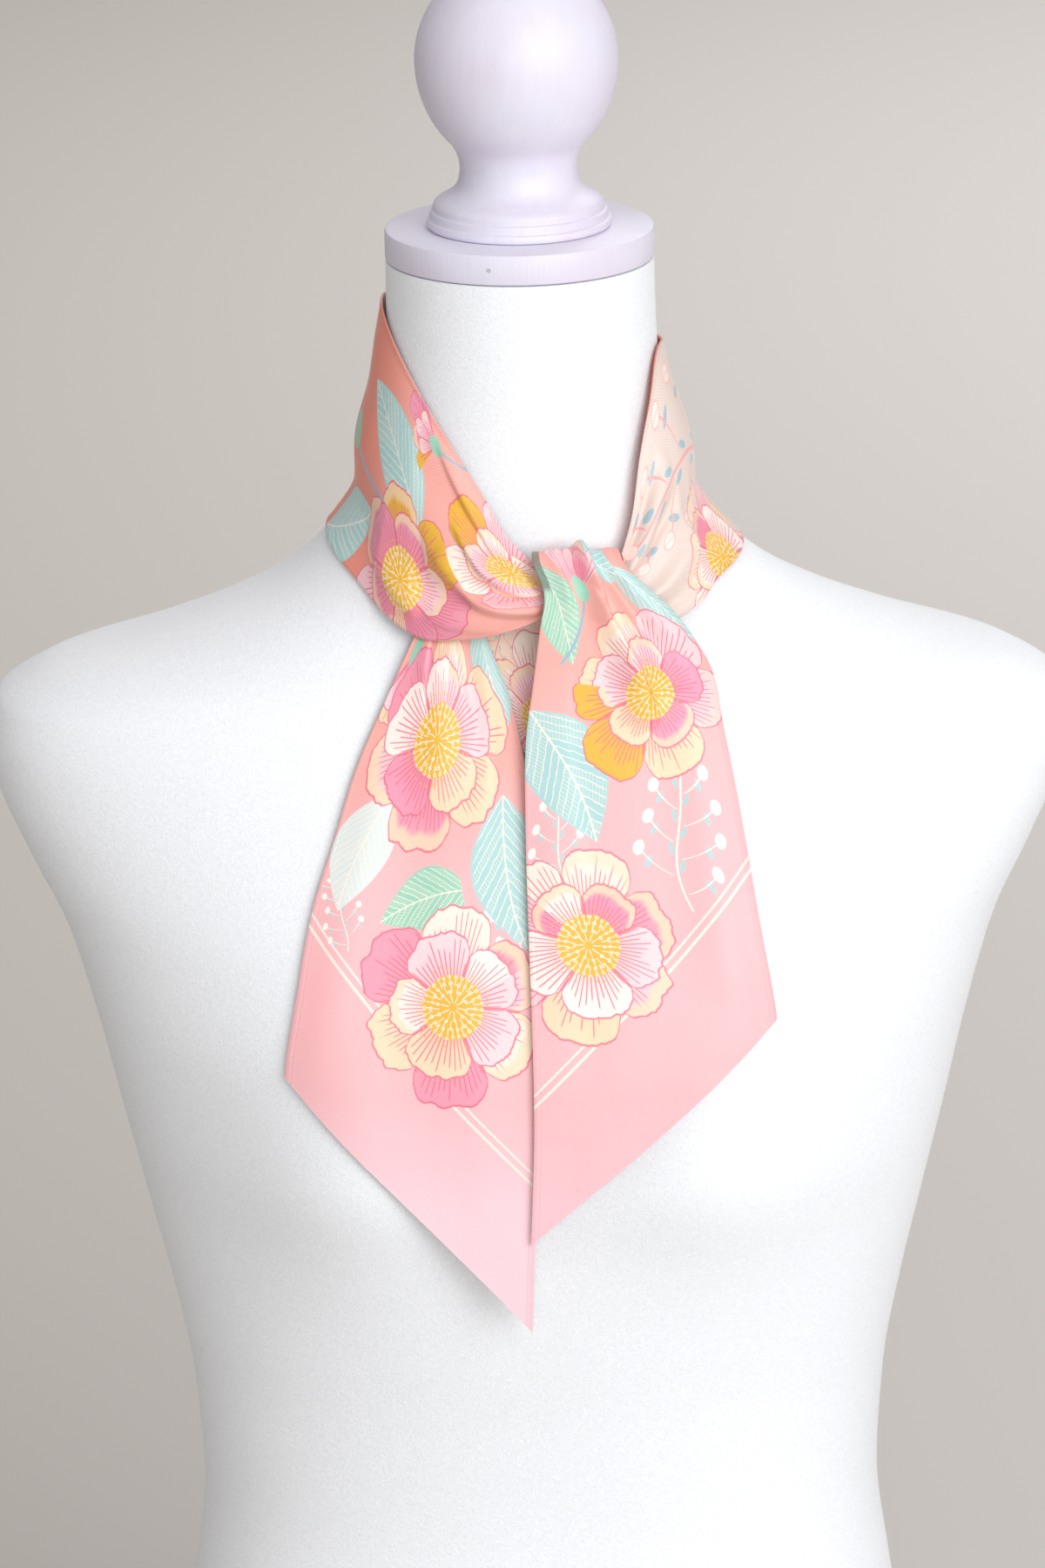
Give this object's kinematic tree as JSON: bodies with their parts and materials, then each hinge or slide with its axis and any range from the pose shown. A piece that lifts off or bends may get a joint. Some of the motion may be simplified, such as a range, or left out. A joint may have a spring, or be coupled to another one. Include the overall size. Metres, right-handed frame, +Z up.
{
  "type": "skinny scarf tied on a limbless dress form",
  "caption": "Long narrow silk scarf with slanted ends, tied in a half-knot round the neck of a padded limbless dress form with a turned wooden neck finial.",
  "frame": {"origin": "bottom centre of the bounding box, on the flat underside of the dress form", "axes": "+Z up, -Y towards the viewer and the front of the form, +X to the viewer's right"},
  "size_m": [0.4342, 0.2619, 0.876],
  "materials": {
    "silk_pink": "satin silk twill, pink ground",
    "silk_cream": "satin silk twill, cream reverse",
    "form_cover": "matt white jersey",
    "painted_wood": "satin white paint over turned wood"
  },
  "bodies": {
    "root": {"dress_form_body": "form_cover", "neck_cap_plate": "painted_wood", "turned_finial": "painted_wood", "scarf_front_tail": "silk_pink", "scarf_knot": "silk_pink", "scarf_left_stretch": "silk_pink", "scarf_nape_twist": "silk_pink", "scarf_rear_tail": "silk_pink", "scarf_right_stretch": "silk_cream", "scarf_turned_edge": "silk_cream"}
  },
  "joints": []
}
